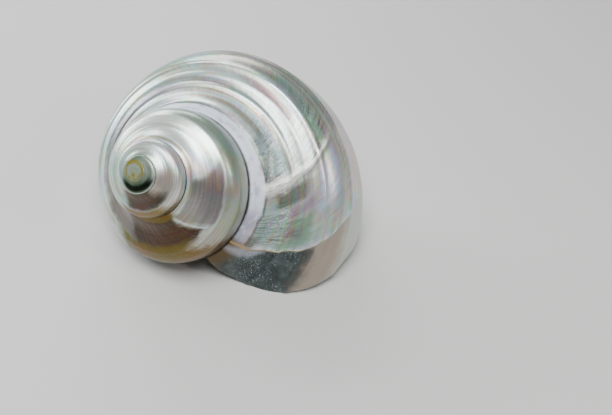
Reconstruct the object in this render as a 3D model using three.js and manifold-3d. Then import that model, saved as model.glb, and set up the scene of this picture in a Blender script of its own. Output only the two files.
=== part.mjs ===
// Polished turban shell, grown as one piece: a tube that winds down round a straight axis and widens
// by the same factor in every turn. The turns fuse where they touch, and the last one ends in the
// open mouth. Millimetres, +Z up. The shell rests mouth down, on its lip, with the origin on the
// surface under the middle of its box.
import * as THREE from 'three';
import { mergeVertices } from 'three/addons/utils/BufferGeometryUtils.js';
import Module from 'manifold-3d';

// Growth of the tube
const GROWTH_PER_TURN = 2.064;   // every length grows by this factor in one turn
const TURNS = 4.5;               // from the worn tip to the mouth
const TUBE_FROM_AXIS = 34.8;     // tube centre to shell axis, at the mouth
const TUBE_BELOW_APEX = 108.1;   // tube centre to the point where the spiral vanishes, at the mouth
const AXIS_GAP = 1.6;            // the tube's inner side stays this far from the axis
const TIP_WEAR = 12.4;           // the worn, rounded tip lies this far below the vanishing point

// Outline of the tube at the mouth: angle above its centre's level (degrees), radius (mm).
// 0 is the periphery, 86 the suture, -90 the base and 180 the side at the axis.
const OUTLINE = [
  [-180, 46], [-150, 49], [-135, 52], [-120, 49.5], [-100, 47], [-80, 46.4], [-60, 47.8], [-40, 48.8],
  [-20, 47.3], [0, 46.6], [11, 47.4], [23, 47.2], [35, 44.8], [45, 42], [55.7, 39.9], [66, 40.5],
  [76, 44], [86, 48.8], [98, 53.5], [112, 52.5], [130, 49], [150, 46], [180, 46],
];

// Polished spiral cords: angle on the outline (degrees), height (mm)
const CORDS = [[11, 0.7], [35, 0.7], [55.7, 0.6], [76, 0.5]];
const CORD_HALF_WIDTH = 3;       // degrees

// Growth lines lean back: degrees of turn that they lag behind the suture, by angle on the outline
const LAG = [
  [-180, 22], [-160, 52], [-140, 76], [-120, 85], [-100, 83], [-80, 76], [-60, 68], [-40, 61],
  [-20, 53], [0, 45], [20, 35], [45, 18.5], [66, 7.3], [86, 0], [120, -2], [140, 0], [160, 6],
  [180, 22],
];
const LONGEST_LAG = 90;

// Growth marks on the last turn, in degrees back from the lip
const LAYER_EDGE = 24.8;         // the outer layer ends here
const LAYER_THICKNESS = 0.5;
const SCAR = 64;                 // a healed break
const SCAR_HEIGHT = 0.6;
const SCAR_HALF_WIDTH = 2.5;

// Outline of the hollow at the mouth, as the tube's is given. The wall is 2.4 mm at the lip, the inner
// side leaves the columella, a pillar round the axis, and past 90 degrees the outline runs into the
// turn above, which bounds the hollow there.
const HOLLOW = [
  [-180, 26.5], [-150, 30], [-130, 36.5], [-115, 41.5], [-100, 43.8], [-80, 43.9], [-60, 45.4],
  [-40, 46.4], [-20, 44.9], [0, 44.2], [20, 44.6], [35, 42.4], [45, 39.6], [55.7, 37.5], [66, 38.1],
  [76, 41.6], [86, 46.4], [98, 53.5], [112, 54], [130, 47], [150, 35], [180, 26.5],
];
const HOLLOW_TURNS = 1.3;        // how far the hollow winds in from the mouth
const HOLLOW_END = 40;           // degrees over which its inner end closes
const HOLLOW_OVERRUN = 22;       // degrees that the cutting tube goes on past the lip

// Columella, a cone that fills the middle of the base
const COLUMELLA_SLOPE = 0.1;     // its radius over its distance from the vanishing point
const COLUMELLA_BOTTOM = 122;    // its rounded end lies this far below the vanishing point
const COLUMELLA_ROUNDING = 24;

// Resting pose: turns about X, Y and Z (degrees) that set the shell on its lip
const REST = [49.02, -25, -74.82];

// Fineness of the faces, in degrees
const RING_STEP = 12;            // between two growth rings on the last turn
const SPIRE_STEP = 20;           // and on the turns before it
const HOLLOW_STEP = 15;
const SEGMENT = 190;             // length of tube in one closed solid, before they are joined
const PILLAR_STEP = 24;

const wasm = await Module();
wasm.setup();

const rad = THREE.MathUtils.degToRad;

// A smooth curve through (place, value) points
function cubic(points) {
  const places = points.map((point) => point[0]);
  const values = points.map((point) => point[1]);
  const curve = new THREE.CubicInterpolant(places, values, 1);
  return (place) => curve.evaluate(place)[0];
}

const outlineRadius = cubic(OUTLINE);
const hollowRadius = cubic(HOLLOW);
const lag = cubic(LAG);

// Height of a point above the plain tube: the spiral cords, the healed break and the layer's edge
function relief(angle, turned) {
  let height = 0;
  for (const [at, rise] of CORDS) {
    height += rise * Math.max(0, 1 - Math.abs(angle - at) / CORD_HALF_WIDTH);
  }
  height += SCAR_HEIGHT * Math.max(0, 1 - Math.abs(turned + SCAR) / SCAR_HALF_WIDTH);
  if (turned > -LAYER_EDGE) height -= LAYER_THICKNESS;
  return height;
}

// A point of the tube in the shell's own frame: axis along Z, the vanishing point at the origin.
// turned is the growth in degrees, 0 at the lip and negative before it.
function tubePoint(turned, angle, radius, nearest) {
  const place = turned - lag(angle);
  const size = GROWTH_PER_TURN ** (place / 360);
  const out = Math.max(nearest, TUBE_FROM_AXIS + radius * Math.cos(rad(angle)));
  const up = -TUBE_BELOW_APEX + radius * Math.sin(rad(angle));
  return [size * out * Math.cos(rad(-place)), size * out * Math.sin(rad(-place)), size * up];
}

// Angles round the outline, closer together at the cords
function outerAngles() {
  const angles = [-170, -145, -120, -100, -80, -60, -40, -20, -5];
  for (const [at] of CORDS) angles.push(at - CORD_HALF_WIDTH, at, at + CORD_HALF_WIDTH);
  angles.push(23, 45, 66, 86, 98, 115, 135, 160);
  return angles.sort((a, b) => a - b);
}

// Places from one to another, a step apart
function steps(from, to, step) {
  const places = [];
  for (let place = from; place < to; place += step) places.push(place);
  return places;
}

// Places of the growth rings from the tip to the lip, closer together at the growth marks
function ringPlaces() {
  const lastTurn = -35 * RING_STEP;
  return [
    ...steps(-360 * TURNS, lastTurn, SPIRE_STEP),
    ...steps(lastTurn, 1, RING_STEP),
    -SCAR - SCAR_HALF_WIDTH, -SCAR, -SCAR + SCAR_HALF_WIDTH,
    -LAYER_EDGE - 0.5, -LAYER_EDGE + 0.5,
  ].sort((a, b) => a - b);
}

const angles = outerAngles();

function outerRing(turned) {
  return angles.map((angle) => (
    tubePoint(turned, angle, outlineRadius(angle) + relief(angle, turned), AXIS_GAP)
  ));
}

// A ring of the hollow, which closes at its inner end
function hollowRing(turned) {
  const opened = Math.min(1, (turned + 360 * HOLLOW_TURNS) / HOLLOW_END);
  const share = Math.sqrt(1 - (1 - opened) ** 2);
  return steps(-172.5, 180, HOLLOW_STEP).map((angle) => (
    tubePoint(turned, angle, hollowRadius(angle) * share, AXIS_GAP)
  ));
}

// A closed solid through rings of points, with a cap at both ends
function solidFromRings(rings) {
  const count = rings[0].length;
  const positions = rings.flat(2);
  const faces = [];
  for (let i = 0; i + 1 < rings.length; i += 1) {
    for (let j = 0; j < count; j += 1) {
      const a = i * count + j;
      const b = i * count + (j + 1) % count;
      faces.push(a, b, a + count, b, b + count, a + count);
    }
  }
  for (const last of [false, true]) {
    const ring = last ? rings[rings.length - 1] : rings[0];
    const first = last ? (rings.length - 1) * count : 0;
    const middle = positions.length / 3;
    positions.push(...[0, 1, 2].map((k) => ring.reduce((sum, point) => sum + point[k], 0) / count));
    for (let j = 0; j < count; j += 1) {
      const a = first + j;
      const b = first + (j + 1) % count;
      faces.push(...(last ? [a, b, middle] : [b, a, middle]));
    }
  }
  return new wasm.Manifold(new wasm.Mesh({
    numProp: 3,
    vertProperties: new Float32Array(positions),
    triVerts: new Uint32Array(faces),
  }));
}

// Ring places in stretches of less than a turn, every one starting on the last rings of the one
// before, so that their solids overlap
function stretches(places) {
  const found = [];
  let start = 0;
  while (start < places.length - 2) {
    let end = start + 1;
    while (end < places.length - 1 && places[end] - places[start] < SEGMENT) end += 1;
    found.push(places.slice(start, end + 1));
    start = end - 1;
  }
  return found;
}

// The pillar: a cone along the axis with a rounded lower end
function columella() {
  const shoulder = COLUMELLA_BOTTOM - COLUMELLA_ROUNDING;
  const profile = [[3 * COLUMELLA_SLOPE, 3]];
  for (const around of [0, 20, 40, 60, 80]) {
    profile.push([
      COLUMELLA_SLOPE * shoulder * Math.cos(rad(around)),
      shoulder + COLUMELLA_ROUNDING * Math.sin(rad(around)),
    ]);
  }
  return solidFromRings(profile.map(([radius, below]) => (
    steps(0, 360, PILLAR_STEP).map((around) => (
      [radius * Math.cos(rad(-around)), radius * Math.sin(rad(-around)), -below]
    ))
  )));
}

// The hollow's cutting solids. Each leaves the turn above it whole, so that its wall stays.
function hollowCuts() {
  const places = steps(-360 * HOLLOW_TURNS + 2, HOLLOW_OVERRUN, HOLLOW_STEP);
  return stretches(places).map((stretch) => {
    const from = stretch[0] - 360 - HOLLOW_STEP;
    const to = stretch[stretch.length - 1] - 360 + LONGEST_LAG + HOLLOW_STEP;
    const turnAbove = solidFromRings(steps(from, to, HOLLOW_STEP).map(outerRing));
    return solidFromRings(stretch.map(hollowRing)).subtract(turnAbove);
  });
}

function shellSolid() {
  let solid = columella();
  for (const stretch of stretches(ringPlaces())) {
    solid = solid.add(solidFromRings(stretch.map(outerRing)));
  }
  for (const cut of hollowCuts()) solid = solid.subtract(cut);
  return solid;
}

// The worn tip: heights close to the vanishing point are pressed down into a low dome
function wearTip(positions) {
  for (let i = 0; i < positions.count; i += 1) {
    const below = -positions.getZ(i);
    positions.setZ(i, -Math.cbrt(Math.max(0, below) ** 3 + TIP_WEAR ** 3));
  }
}

function shellGeometry() {
  const mesh = shellSolid().getMesh();
  let geometry = new THREE.BufferGeometry();
  geometry.setAttribute('position', new THREE.Float32BufferAttribute(mesh.vertProperties, 3));
  geometry.setIndex(Array.from(mesh.triVerts));
  geometry = mergeVertices(geometry);
  wearTip(geometry.attributes.position);
  geometry.computeVertexNormals();
  return geometry;
}

const pearl = new THREE.MeshStandardMaterial({ color: 0xd9d5cd, roughness: 0.22, metalness: 0.15 });

const shell = new THREE.Mesh(shellGeometry(), pearl);
shell.name = 'shell';
shell.rotation.set(...REST.map(rad));

const box = new THREE.Box3().setFromObject(shell, true);
const middle = box.getCenter(new THREE.Vector3());
shell.position.set(-middle.x, -middle.y, -box.min.z);

const object = new THREE.Group();
object.add(shell);
export default object;
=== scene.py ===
import math

import bmesh
import bpy
from mathutils import Matrix, Vector, noise


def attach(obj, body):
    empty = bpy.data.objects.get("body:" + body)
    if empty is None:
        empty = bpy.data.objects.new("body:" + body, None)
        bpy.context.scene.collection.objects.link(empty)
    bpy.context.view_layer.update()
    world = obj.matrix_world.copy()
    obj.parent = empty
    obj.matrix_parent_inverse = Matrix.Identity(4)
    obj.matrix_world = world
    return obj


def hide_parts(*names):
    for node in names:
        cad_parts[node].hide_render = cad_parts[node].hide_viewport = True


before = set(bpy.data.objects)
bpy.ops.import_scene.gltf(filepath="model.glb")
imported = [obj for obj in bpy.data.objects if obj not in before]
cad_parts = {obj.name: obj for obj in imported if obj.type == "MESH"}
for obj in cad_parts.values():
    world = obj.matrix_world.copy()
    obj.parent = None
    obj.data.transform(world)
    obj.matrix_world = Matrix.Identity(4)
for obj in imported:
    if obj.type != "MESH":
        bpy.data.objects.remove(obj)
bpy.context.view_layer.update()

# The camera
# It stands at the photograph's viewing angle, above the worn tip's side of the resting shell, and
# is rolled a little, so that the last turn swells towards the right of the picture.
CAMERA_PLACE = (0.0069, -0.3260, 0.3152)
CAMERA_RIGHT = Vector((0.9950, 0.0, 0.0999))
CAMERA_UP = Vector((-0.0731, 0.6817, 0.7280))
CAMERA_BACK = Vector((-0.0681, -0.7317, 0.6783))
CAMERA_LENS = 52.94              # millimetres, on a sensor 36 mm wide

bpy.ops.object.select_all(action="DESELECT")
bpy.ops.object.camera_add(location=CAMERA_PLACE)
camera = bpy.context.object
camera.name = "camera"
camera.rotation_euler = Matrix((CAMERA_RIGHT, CAMERA_UP, CAMERA_BACK)).transposed().to_euler()
camera.data.sensor_width = 36
camera.data.lens = CAMERA_LENS
bpy.context.scene.camera = camera

# The floor
# A plain pale floor, wide enough to fill the picture, on which the shell lies.
FLOOR_SIZE = 12
FLOOR_COLOUR = (0.60, 0.59, 0.57, 1)
FLOOR_ROUGHNESS = 0.6

bpy.ops.object.select_all(action="DESELECT")
bpy.ops.mesh.primitive_plane_add(size=FLOOR_SIZE)
floor = bpy.context.object
floor.name = "floor"
floor_finish = bpy.data.materials.new("pale_floor")
floor_finish.use_nodes = True
floor_shader = floor_finish.node_tree.nodes["Principled BSDF"]
floor_shader.inputs["Base Color"].default_value = FLOOR_COLOUR
floor_shader.inputs["Roughness"].default_value = FLOOR_ROUGHNESS
floor.data.materials.append(floor_finish)

# The light
# Soft studio light: two broad panels, above in front and behind, a lower one on the left, and a small
# one on the right that gives the glints.
LAMPS = [
    # name, direction from the shell, distance, size, power, colour
    ("overhead", (-0.05, -0.40, 0.90), 1.0, (0.62, 0.50), 14.0, (0.97, 0.99, 1.0)),
    ("behind", (-0.25, 0.80, 0.52), 1.0, (0.80, 0.40), 6.5, (0.97, 1.0, 1.0)),
    ("left", (-0.85, 0.50, 0.28), 0.9, (0.35, 0.40), 5.0, (0.93, 0.97, 1.0)),
    ("right", (0.65, -0.45, 0.61), 0.9, (0.10, 0.22), 1.6, (1.0, 0.97, 0.95)),
]
SHELL_MIDDLE = Vector((0, 0, 0.035))
STUDIO_COLOUR = (0.80, 0.90, 1.0, 1)
STUDIO_BRIGHTNESS = 0.16

for name, direction, distance, size, power, colour in LAMPS:
    place = SHELL_MIDDLE + distance * Vector(direction).normalized()
    bpy.ops.object.light_add(type="AREA", location=place)
    lamp = bpy.context.object
    lamp.name = name
    lamp.rotation_euler = (SHELL_MIDDLE - place).to_track_quat("-Z", "Y").to_euler()
    lamp.data.shape = "RECTANGLE"
    lamp.data.size, lamp.data.size_y = size
    lamp.data.energy = power
    lamp.data.color = colour

world = bpy.data.worlds.new("studio")
bpy.context.scene.world = world
world.use_nodes = True
background = world.node_tree.nodes["Background"]
background.inputs["Color"].default_value = STUDIO_COLOUR
background.inputs["Strength"].default_value = STUDIO_BRIGHTNESS

# The shell
# A large turban shell, ground and polished down to its mother-of-pearl. It is one piece: a tube that
# winds round an axis and widens by the same factor in every turn, so that one narrow strip of new
# growth, repeated, turned and shrunk, makes it all. The mouth is open and the tip is worn round.
GROWTH_PER_TURN = 2.064
TURNS = 4.5
TUBE_FROM_AXIS = 0.0348          # tube centre to shell axis, at the mouth
TUBE_BELOW_APEX = 0.1081         # tube centre to the point where the spiral vanishes
AXIS_GAP = 0.0016                # the tube's inner side stays this far from the axis

# Outline of the tube: angle above its centre's level (degrees), radius (metres). 0 is the periphery,
# 86 the suture, -90 the base and 180 the side at the axis.
OUTLINE = [
    (-180, 0.0460), (-150, 0.0490), (-135, 0.0520), (-120, 0.0495), (-100, 0.0470), (-80, 0.0464),
    (-60, 0.0478), (-40, 0.0488), (-20, 0.0473), (0, 0.0466), (11, 0.0474), (23, 0.0472),
    (35, 0.0448), (45, 0.0420), (55.7, 0.0399), (66, 0.0405), (76, 0.0440), (86, 0.0488),
    (98, 0.0535), (112, 0.0525), (130, 0.0490), (150, 0.0460), (180, 0.0460),
]
HOLLOW_OUTLINE = [
    (-180, 0.0265), (-150, 0.0300), (-130, 0.0365), (-115, 0.0415), (-100, 0.0438), (-80, 0.0439),
    (-60, 0.0454), (-40, 0.0464), (-20, 0.0449), (0, 0.0442), (20, 0.0446), (35, 0.0424),
    (45, 0.0396), (55.7, 0.0375), (66, 0.0381), (76, 0.0416), (86, 0.0464), (98, 0.0535),
    (112, 0.0540), (130, 0.0470), (150, 0.0350), (180, 0.0265),
]
# Growth lines lean back: degrees of turn that they lag behind the suture, by angle
LAG = [
    (-180, 22), (-160, 52), (-140, 76), (-120, 85), (-100, 83), (-80, 76), (-60, 68), (-40, 61),
    (-20, 53), (0, 45), (20, 35), (45, 18.5), (66, 7.3), (86, 0), (120, -2), (140, 0), (160, 6),
    (180, 22),
]
LONGEST_LAG = 96
CORDS = [(11, 0.0006), (35, 0.0008), (45, 0.0003), (55.7, 0.0007), (76, 0.0005)]
CORDS_WHEN_YOUNG = 0.3           # share of the cords' height on the older turns
CORD_WIDTH = 2                   # degrees

# Fineness, in degrees: between the columns of faces where the turns show and elsewhere, and between
# the growth rings near the lip and behind them
COLUMN_STEPS = (1.2, 3)
LIP_STEP = 0.75
TUBE_STEP = 4
LIP_STRETCH = 99                 # degrees of fine rings
# The lip's rounded rim: degrees back from the lip, metres in from the outline
RIM = [
    (1.2, 0), (0.45, 0.0003), (0.12, 0.00075), (0, 0.00125), (0.12, 0.00175), (0.5, 0.0022),
    (1.2, 0.0027),
]
FIRST_RINGS = 17                 # rings behind the fine ones in the first closed solid
SOLID_STRETCH = 160              # degrees of tube in each of the others, before they are joined
MERGE_DISTANCE = 1e-6

HOLLOW_DEPTH = 468               # degrees
HOLLOW_OVERRUN = 22              # degrees that the cutting tube goes on past the lip
HOLLOW_COLUMN_STEPS = (2, 5)
HOLLOW_STEP = 5
HOLLOW_STRETCH = 125
ABOVE_COLUMN_STEPS = (2, 4)      # for the turn above the hollow, which is kept whole
CALLUS = 0.0005                  # thickness of the layer laid on the turn above inside the mouth

# The columella, a cone round the axis: its radius over the distance from the vanishing point, the
# distances of its top and its bottom, and the height of its rounded end
COLUMELLA_SLOPE = 0.1
COLUMELLA_TOP = 0.003
COLUMELLA_BOTTOM = 0.122
COLUMELLA_ROUNDING = 0.024
COLUMELLA_BENDS = (0, 15, 30, 45, 60, 75, 85)    # degrees round the rounded end
COLUMELLA_SIDES = 24
COLUMELLA_BACK = 200             # its place on the growth map


def value_on(points, place):
    """The value at a place on the smooth curve through (place, value) points."""
    last = len(points) - 1
    i = max(k for k in range(last) if points[k][0] <= place)
    span = points[i + 1][0] - points[i][0]

    def slope(k):
        if k in (0, last):
            return 0
        before = (points[k][1] - points[k - 1][1]) / (points[k][0] - points[k - 1][0])
        after = (points[k + 1][1] - points[k][1]) / (points[k + 1][0] - points[k][0])
        return (before + after) / 2

    t = (place - points[i][0]) / span
    start, end = points[i][1], points[i + 1][1]
    return (
        start * (2 * t**3 - 3 * t**2 + 1) + end * (3 * t**2 - 2 * t**3)
        + span * slope(i) * (t**3 - 2 * t**2 + t) + span * slope(i + 1) * (t**3 - t**2)
    )


def cords(angle):
    return sum(rise * math.exp(-((angle - at) / CORD_WIDTH) ** 2) for at, rise in CORDS)


def outer_radius(angle):
    return value_on(OUTLINE, angle) + CORDS_WHEN_YOUNG * cords(angle)


def callus_radius(angle):
    return outer_radius(angle) + CALLUS * GROWTH_PER_TURN


def hollow_radius(angle):
    return value_on(HOLLOW_OUTLINE, angle)


def tube_point(back, angle, radius):
    """A point of the tube in the shell's own frame, its axis along Z and back degrees behind the lip."""
    place = -back - value_on(LAG, angle)
    size = GROWTH_PER_TURN ** (place / 360)
    out = max(AXIS_GAP, TUBE_FROM_AXIS + radius * math.cos(math.radians(angle)))
    up = -TUBE_BELOW_APEX + radius * math.sin(math.radians(angle))
    return Vector((
        size * out * math.cos(math.radians(-place)),
        size * out * math.sin(math.radians(-place)),
        size * up,
    ))


def growth(degrees):
    """The turn and the change of size that growth over so many degrees makes."""
    size = GROWTH_PER_TURN ** (degrees / 360)
    return Matrix.Rotation(math.radians(-degrees), 4, "Z") @ Matrix.Scale(size, 4)


def columns(step_shown, step_hidden):
    """Angles round the outline, closer together where the turns show."""
    hidden = range(int(90 / step_hidden))
    angles = [-180 + step_hidden * k for k in range(int(180 / step_hidden))]
    angles += [step_shown * k for k in range(int(90 / step_shown))]
    return angles + [90 + step_hidden * k for k in hidden]


def only(thing):
    """Selects one object alone and makes it the active one."""
    bpy.ops.object.select_all(action="DESELECT")
    thing.select_set(True)
    bpy.context.view_layer.objects.active = thing


def band(name, angles, backs, rows):
    """An open band through rows of points, a ring extruded from row to row. Its UV map holds the
    turns back from the lip and the angle round the outline, from 0 to 1."""
    count = len(angles)
    bpy.ops.object.select_all(action="DESELECT")
    bpy.ops.mesh.primitive_circle_add(vertices=count, radius=TUBE_FROM_AXIS)
    piece = bpy.context.object
    piece.name = name
    bpy.ops.object.mode_set(mode="EDIT")
    bpy.ops.mesh.select_all(action="SELECT")
    for _ in rows[1:]:
        bpy.ops.mesh.extrude_region()
    bpy.ops.object.mode_set(mode="OBJECT")
    for vertex, point in zip(piece.data.vertices, (point for row in rows for point in row)):
        vertex.co = point

    uv = piece.data.uv_layers[0]
    uv.name = "growth"
    for face in piece.data.polygons:
        wraps = {0, count - 1} <= {index % count for index in face.vertices}
        for corner in face.loop_indices:
            row, column = divmod(piece.data.loops[corner].vertex_index, count)
            around = 180 if wraps and column == 0 else angles[column]
            uv.data[corner].uv = (backs[row] / 360, around / 360 + 0.5)
    return piece


def tube(name, angles, radius_at, newest, step, count):
    """An open tube, grown as one strip that is repeated, turned and shrunk, from newest back."""
    backs = (newest, newest + step)
    rows = [[tube_point(back, angle, radius_at(angle)) for angle in angles] for back in backs]
    piece = band(name, angles, backs, rows)
    bpy.ops.object.empty_add()
    turn = bpy.context.object
    turn.matrix_world = growth(-step)
    bpy.context.view_layer.update()
    only(piece)
    array = piece.modifiers.new("growth", "ARRAY")
    array.count = count
    array.use_relative_offset = False
    array.use_object_offset = True
    array.offset_object = turn
    array.offset_u = step / 360
    array.use_merge_vertices = True
    array.merge_threshold = MERGE_DISTANCE
    bpy.ops.object.modifier_apply(modifier="growth")
    bpy.data.objects.remove(turn)
    return piece


def solid_part(piece, newest, oldest):
    """A closed solid of the part of a tube between two places, in degrees back from the lip."""
    part = piece.copy()
    part.data = piece.data.copy()
    bpy.context.collection.objects.link(part)
    mesh = bmesh.new()
    mesh.from_mesh(part.data)
    uv = mesh.loops.layers.uv["growth"]
    outside = []
    for face in mesh.faces:
        back = 360 * sum(corner[uv].uv.x for corner in face.loops) / len(face.loops)
        if not newest < back < oldest:
            outside.append(face)
    bmesh.ops.delete(mesh, geom=outside, context="FACES")
    mesh.to_mesh(part.data)
    mesh.free()
    only(part)
    bpy.ops.object.mode_set(mode="EDIT")
    bpy.ops.mesh.select_all(action="SELECT")
    bpy.ops.mesh.fill_holes(sides=0)
    bpy.ops.mesh.select_all(action="DESELECT")
    bpy.ops.mesh.select_face_by_sides(number=4, type="GREATER")
    bpy.ops.mesh.poke()
    bpy.ops.mesh.select_all(action="SELECT")
    bpy.ops.mesh.normals_make_consistent(inside=False)
    bpy.ops.object.mode_set(mode="OBJECT")
    return part


def parts_between(piece, newest, oldest, length, overlap):
    """Closed solids that cover a stretch of a tube, each starting on the last ring of the one before."""
    parts = []
    while newest < oldest - overlap:
        end = min(newest + length, oldest)
        parts.append(solid_part(piece, newest, end))
        newest = end - overlap
    return parts


def combine(piece, others, operation):
    """Joins other solids to a piece or cuts them out of it, and removes them."""
    group = bpy.data.collections.new("others")
    for other in others:
        group.objects.link(other)
    only(piece)
    boolean = piece.modifiers.new("combine", "BOOLEAN")
    boolean.operation = operation
    boolean.solver = "MANIFOLD"
    boolean.operand_type = "COLLECTION"
    boolean.collection = group
    bpy.ops.object.modifier_apply(modifier="combine")
    for other in others:
        bpy.data.objects.remove(other)
    bpy.data.collections.remove(group)


# the tube: the rounded rim of the lip, fine rings behind it, and wider ones up to the tip
angles = columns(*COLUMN_STEPS)
rim_backs = [back for back, inset in RIM]
rim_rows = [
    [tube_point(back, angle, outer_radius(angle) - inset) for angle in angles] for back, inset in RIM
]
rim = band("rim", angles, rim_backs, rim_rows)
rim_end = rim_backs[0]
fine_end = rim_end + LIP_STRETCH
fine = tube("fine", angles, outer_radius, rim_end, LIP_STEP, round(LIP_STRETCH / LIP_STEP))
count = round((360 * TURNS - fine_end) / TUBE_STEP)
skin = tube("skin", angles, outer_radius, fine_end, TUBE_STEP, count)
only(skin)
rim.select_set(True)
fine.select_set(True)
bpy.ops.object.join()
bpy.ops.object.mode_set(mode="EDIT")
bpy.ops.mesh.select_all(action="SELECT")
bpy.ops.mesh.remove_doubles(threshold=MERGE_DISTANCE)
bpy.ops.object.mode_set(mode="OBJECT")

# its closed solids and the columella, joined
first_end = fine_end + FIRST_RINGS * TUBE_STEP
shell = solid_part(skin, -1, first_end)
shell.name = "shell_pearl"
others = parts_between(skin, first_end - TUBE_STEP, 360 * TURNS, SOLID_STRETCH, TUBE_STEP)

shoulder = COLUMELLA_BOTTOM - COLUMELLA_ROUNDING
profile = [(COLUMELLA_TOP * COLUMELLA_SLOPE, COLUMELLA_TOP)]
for bend in COLUMELLA_BENDS:
    profile.append((
        COLUMELLA_SLOPE * shoulder * math.cos(math.radians(bend)),
        shoulder + COLUMELLA_ROUNDING * math.sin(math.radians(bend)),
    ))
around_axis = [360 / COLUMELLA_SIDES * k - 180 for k in range(COLUMELLA_SIDES)]
rows = []
for out, below in profile:
    turns = [math.radians(-around) for around in around_axis]
    rows.append([Vector((out * math.cos(turn), out * math.sin(turn), -below)) for turn in turns])
columella = band("columella", around_axis, [COLUMELLA_BACK] * len(rows), rows)
others.append(solid_part(columella, 0, 2 * COLUMELLA_BACK))
bpy.data.objects.remove(columella)
combine(shell, others, "UNION")

# the hollow, cut out in stretches that leave the turn above them and its callus whole
hollow_angles = columns(*HOLLOW_COLUMN_STEPS)
count = round((HOLLOW_DEPTH + HOLLOW_OVERRUN) / HOLLOW_STEP)
hollow = tube("hollow", hollow_angles, hollow_radius, -HOLLOW_OVERRUN, HOLLOW_STEP, count)
above_angles = columns(*ABOVE_COLUMN_STEPS)
above_start = -HOLLOW_OVERRUN + 360 - LONGEST_LAG
count = round((HOLLOW_DEPTH + 360 + HOLLOW_STEP - above_start) / TUBE_STEP)
above = tube("above", above_angles, callus_radius, above_start, TUBE_STEP, count)
newest = -HOLLOW_OVERRUN
while newest < HOLLOW_DEPTH - HOLLOW_STEP:
    oldest = min(newest + HOLLOW_STRETCH, HOLLOW_DEPTH)
    cutter = solid_part(hollow, newest, oldest)
    start = above_start + TUBE_STEP * round((newest + 360 - LONGEST_LAG - above_start) / TUBE_STEP)
    kept = parts_between(above, start, oldest + 360 + HOLLOW_STEP, SOLID_STRETCH, TUBE_STEP)
    combine(cutter, kept, "DIFFERENCE")
    combine(shell, [cutter], "DIFFERENCE")
    newest = oldest - HOLLOW_STEP
for helper in (skin, hollow, above):
    bpy.data.objects.remove(helper)

# The growth marks
# The spiral cords of the last turn, a healed break, the edges of two layers of nacre, and what the
# polish left uneven. They are raised on the joined skin, wherever it lies on the tube's outside.
SHOWN_FROM = (-14, 4)            # angles on the outline over which the growth marks begin
SHOWN_TO = (82, 72)              # and those over which they cease
SCAR = 64                        # degrees back from the lip, at an angle of SCAR_MIDDLE
SCAR_MIDDLE = 50
SCAR_SLANT = 0.07
SCAR_FROM = (10, 22)
SCAR_HEIGHT = 0.0006
SCAR_WIDTH = 1.6
RIPPLES_AT = 70                  # faint ripples behind the healed break
RIPPLES_WIDTH = 7
RIPPLES_HEIGHT = 0.00036
RIPPLES_FROM = (45, 60)
LAYER_EDGE = 24.8
LAYER_SOFTNESS = 0.45
LAYER_THICKNESS = 0.0005
WAVES = ((0.6, 0.13), (0.35, 0.41))      # how both wander: height in degrees, waves by angle
OLD_EDGE = 49.5                  # the edge of an older layer, which fades towards the lip
OLD_EDGE_SOFTNESS = 0.5
OLD_EDGE_FADES = (30, 44)
OLD_EDGE_FROM = (44, 56)
OLD_EDGE_HEIGHT = 0.00018
CORDS_GROW = (300, 190)          # degrees back over which the cords grow to their full height
UNEVENNESS = 0.00009
UNEVENNESS_SCALE = 85
ON_SKIN = 0.0003                 # a point nearer than this to the tube's outside lies on it
FIBRES_NOISE = 7                 # places in the noise
CORDS_NOISE = 3


def step(value, low, high):
    """Runs smoothly from 0 to 1 while the value runs from low to high."""
    share = min(1, max(0, (value - low) / (high - low)))
    return share * share * (3 - 2 * share)


def relief(back, angle, point):
    """How far the growth marks lift the skin at a place."""
    shown = step(angle, *SHOWN_FROM) * step(angle, *SHOWN_TO)
    wobble = sum(height * math.sin(count * angle) for height, count in WAVES)
    fibres = 0.35 * noise.noise(Vector((1.1 * back, 0.05 * angle, FIBRES_NOISE)))

    from_scar = back - SCAR - SCAR_SLANT * (angle - SCAR_MIDDLE) - wobble
    near_scar = math.exp(-((from_scar / SCAR_WIDTH) ** 2)) * step(angle, *SCAR_FROM)
    height = SCAR_HEIGHT * near_scar * (1 + fibres)
    near_ripples = math.exp(-((back - RIPPLES_AT) / RIPPLES_WIDTH) ** 2)
    height += RIPPLES_HEIGHT * near_ripples * fibres * step(angle, *RIPPLES_FROM)

    edge = LAYER_EDGE + wobble
    height -= LAYER_THICKNESS * step(back, edge + LAYER_SOFTNESS, edge - LAYER_SOFTNESS)
    edge = OLD_EDGE + wobble
    old = step(back, edge + OLD_EDGE_SOFTNESS, edge - OLD_EDGE_SOFTNESS) * step(angle, *OLD_EDGE_FROM)
    height -= OLD_EDGE_HEIGHT * old * step(back, *OLD_EDGE_FADES)

    grown_cords = (1 - CORDS_WHEN_YOUNG) * cords(angle) * step(back, *CORDS_GROW)
    height += grown_cords * (1 + 0.5 * noise.noise(Vector((0.03 * back, 0.2 * angle, CORDS_NOISE))))
    return height * shown + UNEVENNESS * noise.noise(UNEVENNESS_SCALE * point)


corner_places = shell.data.uv_layers["growth"].data
places = {}
for corner in shell.data.loops:
    back, around = corner_places[corner.index].uv
    places.setdefault(corner.vertex_index, (360 * back, 360 * around - 180))
lifts = {}
for vertex in shell.data.vertices:
    back, angle = places[vertex.index]
    on_tube = tube_point(back, angle, outer_radius(angle))
    if (vertex.co - on_tube).length < ON_SKIN:
        lifts[vertex.index] = vertex.normal * relief(back, angle, vertex.co)
for index, lift in lifts.items():
    shell.data.vertices[index].co += lift

# The worn tip and the resting pose
# The point of the spire is worn to a low dome: heights close to the vanishing point are pressed down.
# The shell then lies mouth down, on its lip.
TIP_WEAR = 0.0124
REST = (49.02, -25, -74.82)      # turns about X, Y and Z, in degrees
VANISHING_POINT = Vector((-0.04410764, -0.05235074, 0.07449246))
SMOOTH_ANGLE = 32

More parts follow.
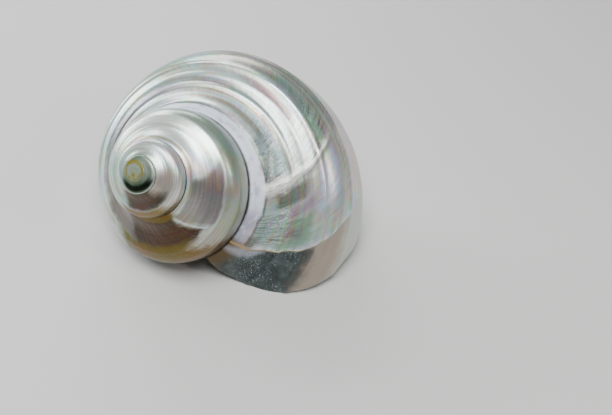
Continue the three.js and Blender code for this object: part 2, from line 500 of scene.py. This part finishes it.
for vertex in shell.data.vertices:
    vertex.co.z = -(max(0, -vertex.co.z) ** 3 + TIP_WEAR**3) ** (1 / 3)

rest = Matrix.Rotation(math.radians(REST[0]), 4, "X")
rest = rest @ Matrix.Rotation(math.radians(REST[1]), 4, "Y")
rest = rest @ Matrix.Rotation(math.radians(REST[2]), 4, "Z")
shell.data.transform(Matrix.Translation(VANISHING_POINT) @ rest)
TIP_MIDDLE = VANISHING_POINT + rest @ Vector((0, 0, -TIP_WEAR))
only(shell)
bpy.ops.object.shade_smooth_by_angle(angle=math.radians(SMOOTH_ANGLE))

# The finish of the shell
# Nacre under a polish. Its colours follow the growth of the shell, so most of them are placed on the
# growth map: back is degrees behind the lip, around is the angle on the outline. Some marks and fields
# are painted shade, painted highlights and painted reflections, said so where they stand.
PEARL = (0.74, 0.765, 0.75, 1)
FILM = [                         # the cycle of tints that the thin layers of nacre give
    (0.00, (1.00, 0.68, 0.70)),
    (0.18, (1.00, 0.90, 0.70)),
    (0.38, (0.70, 1.00, 0.74)),
    (0.58, (0.70, 0.96, 1.00)),
    (0.80, (0.88, 0.78, 1.00)),
    (1.00, (1.00, 0.70, 0.72)),
]
# Marks on the growth map: degrees back from the lip (from, to, softness of the ends), angle on the
# outline (from, to, softness), colour, share
MARKS = [
    # the second turn and those above it
    # painted highlight: a broad pale band across the second turn
    (425, 525, 12, 34.2, 79, 2.5, (0.88, 0.93, 0.90), 0.8),
    (430, 520, 10, 50, 56, 2, (0.40, 0.46, 0.40), 0.5),
    (535, 610, 15, 52, 66, 4, (0.36, 0.60, 0.44), 0.7),
    (540, 625, 15, 69, 79.3, 3, (0.46, 0.33, 0.30), 0.6),
    (400, 485, 10, -120, 33, 1.5, (0.27, 0.32, 0.26), 0.85),
    (346, 402, 10, -121, 33, 3, (0.33, 0.31, 0.23), 0.8),
    # painted shade on the downward side of the second turn
    (369, 425, 4, 34, 79.6, 2.5, (0.23, 0.185, 0.17), 0.85),
    # painted shade on the downward side at the older end of the last turn
    (262, 306, 10, 42, 80, 5, (0.21, 0.155, 0.125), 0.85),
    # painted shade and a painted brown reflection, the darkest part of the downward side
    (298, 366, 6, 37, 90, 5, (0.080, 0.042, 0.028), 0.99),
    # gold-olive nacre, made darker as painted shade on the downward side
    (276, 346, 10, -122, 44, 4, (0.17, 0.105, 0.026), 0.97),
    (366, 368.2, 0.8, 38, 79, 3, (0.85, 0.90, 0.95), 0.5),
    # painted highlight along the cord on the second turn
    (400, 470, 12, 33.4, 35.2, 0.8, (0.85, 0.88, 0.86), 0.8),
    (725, 790, 12, 36, 84, 6, (0.40, 0.31, 0.28), 0.85),
    # painted shade on the downward side of the turn above
    (655, 735, 14, 38, 90, 6, (0.105, 0.062, 0.044), 0.97),
    (636, 708, 10, -123, 37, 4, (0.20, 0.115, 0.02), 0.92),
    # painted shade on the downward side of the turns near the tip
    (1000, 1100, 20, 20, 90, 8, (0.05, 0.055, 0.03), 0.8),
    (396, 600, 16, 78, 82, 1, (0.38, 0.30, 0.16), 0.8),
    (402, 640, 16, 81.5, 92, 1, (0.68, 0.68, 0.74), 0.85),
    (295, 372, 10, 78, 92, 1.5, (0.15, 0.095, 0.02), 0.9),
    # the older half of the last turn
    # grey-mauve nacre, darkened as painted shade on the downward side of the last turn's older half
    (196, 300, 10, 47, 76, 4, (0.22, 0.175, 0.165), 0.8),
    (150, 205, 14, 47.2, 60, 4, (0.36, 0.33, 0.33), 0.5),
    (216, 250, 8, 62, 88, 5, (0.86, 0.90, 0.92), 0.8),
    (165, 260, 14, 26, 45, 3, (0.80, 0.83, 0.88), 0.6),
    # the bands along its cords
    (85, 165, 12, 71.5, 77.5, 1, (0.90, 0.90, 0.86), 0.85),
    (95, 150, 10, 67, 71, 1.2, (0.44, 0.34, 0.28), 0.75),
    (100, 155, 10, 60.8, 66, 1.2, (0.86, 0.89, 0.92), 0.8),
    # this and the next mark: the edge of a painted reflection, an orange line over a painted highlight
    (90, 145, 8, 58.7, 60.6, 0.8, (0.72, 0.33, 0.22), 0.85),
    (78, 162, 8, 55.4, 58.2, 0.8, (0.96, 0.95, 0.90), 0.95),
    (100.5, 200, 10, 49.5, 55, 2, (0.36, 0.38, 0.40), 0.6),
    # painted highlight, a bright line along the shoulder
    (82, 142, 6, 46, 48.2, 0.8, (0.76, 0.90, 0.94), 0.85),
    # painted reflection, a rosy patch below that line
    (84, 116, 5, 38, 45.5, 1.5, (0.38, 0.22, 0.24), 0.8),
    (116, 146, 8, 37, 46, 2, (0.66, 0.76, 0.72), 0.75),
    (60, 205, 12, 9, 32.8, 3, (0.27, 0.30, 0.25), 0.75),
    (60, 98, 6, 26, 33.8, 2, (0.23, 0.30, 0.25), 0.75),
    (122, 205, 14, 15, 30, 4, (0.70, 0.78, 0.80), 0.5),
    # painted highlight along the cord at 35 degrees
    (58, 143, 3, 33.9, 35.5, 0.7, (0.80, 0.95, 1.0), 0.95),
    # beside the healed break, and between it and the edge of the outer layer
    (62, 106, 10, 59, 77, 3, (0.24, 0.26, 0.30), 0.8),
    (66, 84, 3, 35, 52, 3, (0.97, 0.96, 1.0), 0.8),
    (60, 82, 4, 74.5, 77.2, 1, (0.10, 0.085, 0.065), 0.75),
    (27, 61, 1.5, 12, 72, 4, (0.50, 0.54, 0.51), 0.7),
    (51.5, 60, 1.8, 46.8, 69, 4, (0.17, 0.19, 0.14), 0.8),
    (49, 58.5, 1.5, 68, 80, 2, (0.50, 0.51, 0.55), 0.8),
    (44.5, 49, 1.5, 38, 62, 5, (0.34, 0.24, 0.36), 0.6),
    (27, 43, 2, 41, 60, 3, (0.21, 0.36, 0.25), 0.75),
    (31, 38, 2, 46, 58, 3, (0.30, 0.17, 0.24), 0.5),
    # painted highlight, a bluish-white glint below the cord
    (40, 58, 2, 22, 38, 3, (0.72, 0.80, 0.92), 0.6),
    (28, 52, 4, -124, 11, 2, (0.72, 0.61, 0.62), 0.8),
    (25, 34, 2, 72, 80.2, 2, (0.14, 0.10, 0.04), 0.75),
    (28, 48, 2, 60, 76, 3, (0.20, 0.22, 0.20), 0.6),
]
STREAK_GREY = (0.43, 0.47, 0.45, 1)
WHITE = (0.90, 0.92, 0.95, 1)
PORCELAIN = (0.72, 0.75, 0.87, 1)
PORCELAIN_GREY = (0.23, 0.23, 0.29, 1)
SCAR_COLOUR = (0.95, 0.94, 0.88, 1)
TAN = (0.42, 0.27, 0.10, 1)
GOLD_BROWN = (0.12, 0.07, 0.02, 1)
DARK_REFLECTION = (0.034, 0.048, 0.052, 1)
DARK_REFLECTION_GREY = (0.15, 0.195, 0.185, 1)
SPECKS = (0.50, 0.58, 0.62, 1)
ROSE_TAN = (0.30, 0.22, 0.17, 1)
PALE_EDGE = (0.46, 0.50, 0.42, 1)
OLIVE = (0.36, 0.29, 0.03, 1)
TIP_GREEN = (0.13, 0.20, 0.12, 1)
TIP_PALE = (0.50, 0.58, 0.44, 1)
TIP_SHADE = (0.010, 0.016, 0.008, 1)
TIP_SHADED_SIDE = Vector((0.07, -0.68, -0.73))
TIP_RING_SHIFT = Vector((-0.0013, 0.0002, 0.0001))
TIP_SPOT_SHIFT = Vector((-0.0013, -0.0011, -0.0013))
SUTURE_COLOUR = (0.012, 0.009, 0.005, 1)
SHADE_LINE = (0.13, 0.14, 0.14, 1)
# Areas of the growth map where the growth lines are strongest, given as the marks' limits are
RIPPLED = (29, 50, 3, 55, 76, 4)
BESIDE_SCAR = (62, 104, 8, 56, 77, 3)
ACROSS_SCAR = (64, 84, 3, 22, 76, 4)
CALMED = (110, 230)              # degrees back over which the growth lines grow fainter
BUMP_HEIGHT = 0.0003

pearl = bpy.data.materials.new("pearl")
pearl.use_nodes = True
tree = pearl.node_tree
shader = tree.nodes["Principled BSDF"]


def put(socket, value):
    if isinstance(value, bpy.types.NodeSocket):
        tree.links.new(value, socket)
    else:
        socket.default_value = value


def math_node(operation, *values):
    node = tree.nodes.new("ShaderNodeMath")
    node.operation = operation
    for socket, value in zip(node.inputs, values):
        put(socket, value)
    return node.outputs[0]


def ease(value, low, high, start=0, end=1):
    """Runs smoothly from start to end while the value runs from low to high. It stays between them
    without a clamp, and clamps for all the marks would fill the shader's stack."""
    node = tree.nodes.new("ShaderNodeMapRange")
    node.interpolation_type = "SMOOTHSTEP"
    node.clamp = False
    for socket, number in zip(node.inputs, (value, low, high, start, end)):
        put(socket, number)
    return node.outputs[0]


def bump_at(value, middle, width):
    """1 where the value is at the middle, falling smoothly to 0 at the width to both sides."""
    return ease(math_node("ABSOLUTE", math_node("SUBTRACT", value, middle)), 0, width, 1, 0)


def within(value, low, high, soft):
    """1 between low and high, with soft ends."""
    return math_node(
        "MULTIPLY", ease(value, low - soft, low + soft), ease(value, high - soft, high + soft, 1, 0)
    )


def clouds(vector, scale, detail=2.0, roughness=0.5, distortion=0.0):
    node = tree.nodes.new("ShaderNodeTexNoise")
    put(node.inputs["Vector"], vector)
    node.inputs["Scale"].default_value = scale
    node.inputs["Detail"].default_value = detail
    node.inputs["Roughness"].default_value = roughness
    node.inputs["Distortion"].default_value = distortion
    return node.outputs["Fac"]


def blended(factor, first, second, blend="MIX"):
    node = tree.nodes.new("ShaderNodeMix")
    node.data_type = "RGBA"
    node.blend_type = blend
    put(node.inputs["Factor"], factor)
    put(node.inputs[6], first)
    put(node.inputs[7], second)
    return node.outputs[2]


def scaled(colour, value):
    """The colour, lighter or darker by a factor."""
    node = tree.nodes.new("ShaderNodeCombineColor")
    for socket in node.inputs:
        tree.links.new(value, socket)
    return blended(1.0, colour, node.outputs[0], "MULTIPLY")


growth_map = tree.nodes.new("ShaderNodeUVMap")
growth_map.uv_map = "growth"


def growth_scaled(scale, start=(0, 0, 0)):
    """The place on the growth map, scaled and moved."""
    node = tree.nodes.new("ShaderNodeMapping")
    tree.links.new(growth_map.outputs["UV"], node.inputs["Vector"])
    node.inputs["Location"].default_value = start
    node.inputs["Scale"].default_value = scale
    return node.outputs[0]


parts = tree.nodes.new("ShaderNodeSeparateXYZ")
tree.links.new(growth_scaled((360, 360, 1), (0, -180, 0)), parts.inputs[0])
back, around = parts.outputs["X"], parts.outputs["Y"]
place = tree.nodes.new("ShaderNodeTexCoord").outputs["Object"]

# unevenness, for the edges of every mark
wander = math_node("SUBTRACT", clouds(place, 110, 3, 0.6), 0.5)
wander_small = math_node("SUBTRACT", clouds(place, 420, 3, 0.6), 0.5)


def product(*values):
    result = values[0]
    for value in values[1:]:
        result = math_node("MULTIPLY", result, value)
    return result


def streaks(along_growth, along_angle, detail, roughness=0.6):
    """Streaks on the growth map: how often they change with growth and with the angle."""
    return clouds(growth_scaled((360 * along_growth, 360 * along_angle, 1)), 1, detail, roughness)


# growth lines, coarse and fine, and streaks that run along the turns
lines = streaks(0.5, 0.03, 4)
fine_lines = streaks(3.2, 0.08, 3)
spiral_lines = streaks(0.012, 0.34, 4, 0.55)

# one mark: a patch of colour between two places of growth and two angles, with uneven, soft ends
mark_tree = bpy.data.node_groups.new("mark", "ShaderNodeTree")
mark_tree.interface.new_socket("Colour", in_out="OUTPUT", socket_type="NodeSocketColor")
for socket_name in ("Colour", "Mark"):
    mark_tree.interface.new_socket(socket_name, in_out="INPUT", socket_type="NodeSocketColor")
limits = ("Back From", "Back To", "Back Soft", "Around From", "Around To", "Around Soft")
for socket_name in ("Share", "Strength", "Back", "Around") + limits:
    mark_tree.interface.new_socket(socket_name, in_out="INPUT", socket_type="NodeSocketFloat")
tree = mark_tree
given = tree.nodes.new("NodeGroupInput").outputs
amount = given["Share"]
for side in ("Back", "Around"):
    for end, start_share in (("From", 0), ("To", 1)):
        limit, soft = given[f"{side} {end}"], given[side + " Soft"]
        low, high = math_node("SUBTRACT", limit, soft), math_node("ADD", limit, soft)
        amount = product(amount, ease(given[side], low, high, start_share, 1 - start_share))
amount = product(amount, given["Strength"])
marked = blended(amount, given["Colour"], given["Mark"])
tree.links.new(marked, tree.nodes.new("NodeGroupOutput").inputs["Colour"])
tree = pearl.node_tree

strength = product(ease(lines, 0.3, 0.55, 0.95, 1), ease(around, -90, -15))
uneven = {}                      # the place on the growth map, the more uneven the softer the mark


def marked_with(colour, limits_and_colour):
    """The colour with one of the marks laid over it."""
    *limit_values, mark_colour, share = limits_and_colour
    for side, value, soft in (("Back", back, limit_values[2]), ("Around", around, limit_values[5])):
        if (side, soft) not in uneven:
            uneven[side, soft] = math_node("MULTIPLY_ADD", wander, 3 * soft, value)
    node = tree.nodes.new("ShaderNodeGroup")
    node.node_tree = mark_tree
    for name, value in zip(limits, limit_values):
        node.inputs[name].default_value = value
    tree.links.new(colour, node.inputs["Colour"])
    node.inputs["Mark"].default_value = (*mark_colour, 1)
    node.inputs["Share"].default_value = share
    tree.links.new(strength, node.inputs["Strength"])
    tree.links.new(uneven["Back", limit_values[2]], node.inputs["Back"])
    tree.links.new(uneven["Around", limit_values[5]], node.inputs["Around"])
    return node.outputs["Colour"]


# pale nacre with streaks along the turns and across them, then the marks
colour = blended(ease(spiral_lines, 0.40, 0.62), STREAK_GREY, PEARL)
colour = blended(ease(clouds(place, 45, 3), 0.55, 0.70, 0, 0.6), colour, WHITE)
colour = blended(ease(lines, 0.52, 0.70, 0, 0.35), colour, WHITE)
for mark in MARKS:
    colour = marked_with(colour, mark)

# the film's tint runs through its cycle with the depth of the layer
depth = product(clouds(place, 30, 2, 0.5, 0.8), 3.4)
depth = math_node("MULTIPLY_ADD", lines, 0.9, depth)
depth = math_node("MULTIPLY_ADD", spiral_lines, 2.4, depth)
film = tree.nodes.new("ShaderNodeValToRGB")
film.color_ramp.elements[1].position = 1
for position, shade in FILM[1:-1]:
    film.color_ramp.elements.new(position)
for element, (position, shade) in zip(film.color_ramp.elements, FILM):
    element.position = position
    element.color = (*shade, 1)
tree.links.new(math_node("FRACT", depth), film.inputs[0])
colour = blended(ease(clouds(place, 60, 3), 0.3, 0.65, 0.35, 1), colour, film.outputs[0], "MULTIPLY")

# fine growth lines, strongest where the nacre is rippled: beside the scar and before the layer's edge
rippled, by_scar, across_scar = (
    product(within(back, *area[:3]), within(around, *area[3:]))
    for area in (RIPPLED, BESIDE_SCAR, ACROSS_SCAR)
)
grain = math_node("MAXIMUM", math_node("MAXIMUM", rippled, by_scar), product(across_scar, 0.6))
striae = math_node("SUBTRACT", fine_lines, 0.5)
striae = product(striae, math_node("MULTIPLY_ADD", grain, 2.6, 1.1))
finest = math_node("SUBTRACT", streaks(9, 0.2, 2), 0.5)
striae = math_node("MULTIPLY_ADD", finest, 0.5, striae)
calm = ease(back, *CALMED, 1, 0.4)
colour = scaled(colour, math_node("MULTIPLY_ADD", striae, calm, 1))
sparkle = ease(clouds(place, 1500, 2, 0.7), 0.60, 0.70)
sparkle = product(sparkle, math_node("MULTIPLY_ADD", grain, 0.5, 0.12), calm)
colour = blended(sparkle, colour, WHITE)

# the youngest growth, past the layer's edge: a dark field of painted dark reflection over its thin
# translucent nacre, with pale specks, a rosy field beside it and a pale outer edge
wave = 0
for height, count in WAVES:
    wave = math_node("ADD", wave, product(math_node("SINE", product(around, count)), height))
unwaved = math_node("SUBTRACT", back, wave)
from_edge = math_node("SUBTRACT", unwaved, LAYER_EDGE)
young = ease(from_edge, -0.25, 0.25, 1, 0)
around_young = math_node("ADD", around, product(wander, 10))
slanted = math_node("MULTIPLY_ADD", back, -0.12, around_young)
colour = blended(product(young, ease(around, -80, -5, 0.35, 0.75)), colour, PALE_EDGE)
colour = blended(product(young, ease(around_young, 8, 20), 0.75), colour, ROSE_TAN)
# painted dark reflection over the young nacre, with painted grey mottling on it
dark_reflection = product(young, ease(slanted, 28, 40))
colour = blended(product(dark_reflection, 0.92), colour, DARK_REFLECTION)
mottled = ease(clouds(place, 110, 5, 0.7), 0.36, 0.70)
colour = blended(product(dark_reflection, mottled, 0.6), colour, DARK_REFLECTION_GREY)
specks = product(ease(clouds(place, 1500, 3, 0.7), 0.58, 0.68), ease(clouds(place, 130, 2), 0.35, 0.55))
colour = blended(product(young, ease(slanted, 34, 40), specks, 0.75), colour, SPECKS)

# the milky band beside the suture, feathered out where it widens towards the lip
edge = math_node("ADD", math_node("ADD", around, product(wander, 1.2)), product(wander_small, 1.2))
edge = math_node("MULTIPLY_ADD", ease(back, 66, 96), -1.8, edge)
edge = math_node("MULTIPLY_ADD", ease(back, 50, 44), -1.8, edge)
last_milk = product(ease(back, 262, 235, 0, 1), ease(back, 24, 29))
milky = product(ease(edge, 75.6, 77.2), last_milk)
colour = blended(product(bump_at(edge, 75.4, 1.5), last_milk, 0.75), colour, SHADE_LINE)
greyed = ease(streaks(0.10, 0.25, 3), 0.50, 0.68, 0, 0.5)
greyed = math_node("MAXIMUM", ease(back, 62, 44, 0, 0.85), greyed)
greyed = product(greyed, ease(clouds(place, 170, 3), 0.26, 0.50))
milk = blended(greyed, PORCELAIN, PORCELAIN_GREY)
milk_share = ease(clouds(place, 200, 3), 0.3, 0.6, 0.72, 0.95)
colour = blended(product(milky, milk_share), colour, milk)

# the golden brown beside the suture by the lip, and the pale corner next to it
by_lip = ease(math_node("ADD", around, product(wander, 10)), 73, 83)
colour = blended(product(by_lip, ease(back, 31, 26), 0.75), colour, GOLD_BROWN)
corner_slant = math_node("MULTIPLY_ADD", back, 1.4, around_young)
corner = product(within(back, 17, 26, 3), within(corner_slant, 98, 112, 4), young)
colour = blended(product(corner, 0.3), colour, PORCELAIN)

# the healed break and the edge of the outer layer
scar_place = math_node("MULTIPLY_ADD", around, SCAR_SLANT, SCAR - SCAR_MIDDLE * SCAR_SLANT)
from_scar = math_node("SUBTRACT", unwaved, scar_place)
scar_width = ease(around, 30, 78, 1.2, 6.0)
scar_shape = math_node("ABSOLUTE", math_node("DIVIDE", from_scar, scar_width))
scar_line = product(ease(scar_shape, 0.3, 1.0, 1, 0), ease(around, 12, 40), ease(around, 79, 76))
scar_fibres = streaks(1.6, 0.22, 3)
colour = blended(product(scar_line, ease(scar_fibres, 0.38, 0.54, 0.25, 1.0)), colour, SCAR_COLOUR)
layer_width = ease(around, 50, 76, 0.3, 1.1)
layer_shape = math_node("ABSOLUTE", math_node("DIVIDE", from_edge, layer_width))
layer_share = product(ease(around, 5, 50, 0.4, 1), ease(around, 0, 6))
colour = blended(product(ease(layer_shape, 0.3, 1.0, 1, 0), layer_share), colour, TAN)

# the suture: a thin dark line on both sides of the joint
older = product(ease(back, 300, 340), ease(around, -14.5, -17))
suture = ease(math_node("ADD", around, product(wander, 1.5)), 84.0, 85.4)
suture = math_node("MAXIMUM", suture, older)
colour = blended(product(suture, 0.95), colour, SUTURE_COLOUR)


def from_point(operation, point):
    """The distance to a point, or how far the place lies along it as a direction."""
    node = tree.nodes.new("ShaderNodeVectorMath")
    node.operation = operation
    tree.links.new(place, node.inputs[0])
    node.inputs[1].default_value = point
    return node.outputs["Value"]


# the worn tip, where older, olive and green layers show, and a painted shade crescent on its lower side
from_tip = math_node("MULTIPLY_ADD", wander, 0.003, from_point("DISTANCE", TIP_MIDDLE))
low_side = from_point("DOT_PRODUCT", TIP_SHADED_SIDE)
low_side = math_node("SUBTRACT", low_side, TIP_MIDDLE.dot(TIP_SHADED_SIDE))
from_ring = from_point("DISTANCE", TIP_MIDDLE + TIP_RING_SHIFT)
from_ring = math_node("MULTIPLY_ADD", wander_small, 0.0032, from_ring)
from_spot = from_point("DISTANCE", TIP_MIDDLE + TIP_SPOT_SHIFT)
from_spot = math_node("MULTIPLY_ADD", wander_small, 0.003, from_spot)
colour = blended(ease(from_tip, 0.0068, 0.0096, 0.78, 0), colour, TIP_GREEN)
# painted shade: a dark crescent on the side of the tip that faces down
shaded_crescent = product(within(from_tip, 0.0060, 0.0088, 0.0009), ease(low_side, 0.0010, 0.0058))
colour = blended(product(shaded_crescent, 0.95), colour, TIP_SHADE)
colour = blended(ease(from_ring, 0.0032, 0.0046, 0.65, 0), colour, TIP_PALE)
ring = product(bump_at(from_ring, 0.0040, 0.0015), ease(clouds(place, 260, 2), 0.32, 0.5, 0.3, 0.95))
colour = blended(ring, colour, OLIVE)
colour = blended(ease(from_spot, 0.0007, 0.0018, 0.85, 0), colour, OLIVE)
tree.links.new(colour, shader.inputs["Base Color"])

rough = product(math_node("SUBTRACT", fine_lines, 0.5), calm)
rough = math_node("MULTIPLY_ADD", rough, 0.24, 0.32)
rough = math_node("MULTIPLY_ADD", scar_line, 0.2, rough)
tree.links.new(rough, shader.inputs["Roughness"])

# dark nacre shines in its own colour, pale nacre under a clear polish
brightness = tree.nodes.new("ShaderNodeRGBToBW")
tree.links.new(colour, brightness.inputs[0])
metal = ease(brightness.outputs[0], 0.03, 0.35, 0.95, 0.6)
metal = product(metal, math_node("SUBTRACT", 1, product(milky, 0.9)))
tree.links.new(metal, shader.inputs["Metallic"])
tree.links.new(ease(brightness.outputs[0], 0.03, 0.35, 0.04, 0.3), shader.inputs["Coat Weight"])
shader.inputs["Coat Roughness"].default_value = 0.06
shader.inputs["Specular IOR Level"].default_value = 0.35

relief_map = product(fine_lines, math_node("MULTIPLY_ADD", grain, 0.9, 0.3))
relief_map = math_node("MULTIPLY_ADD", lines, 0.5, relief_map)
relief_map = math_node("MULTIPLY_ADD", product(scar_fibres, scar_line), 0.6, relief_map)
relief_map = math_node("MULTIPLY_ADD", clouds(place, 260, 3, 0.55), 0.4, relief_map)
bump = tree.nodes.new("ShaderNodeBump")
bump.inputs["Strength"].default_value = 0.7
bump.inputs["Distance"].default_value = BUMP_HEIGHT
tree.links.new(product(relief_map, calm), bump.inputs["Height"])
tree.links.new(bump.outputs[0], shader.inputs["Normal"])

shell.data.materials.clear()
shell.data.materials.append(pearl)
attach(shell, "root")
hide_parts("shell")
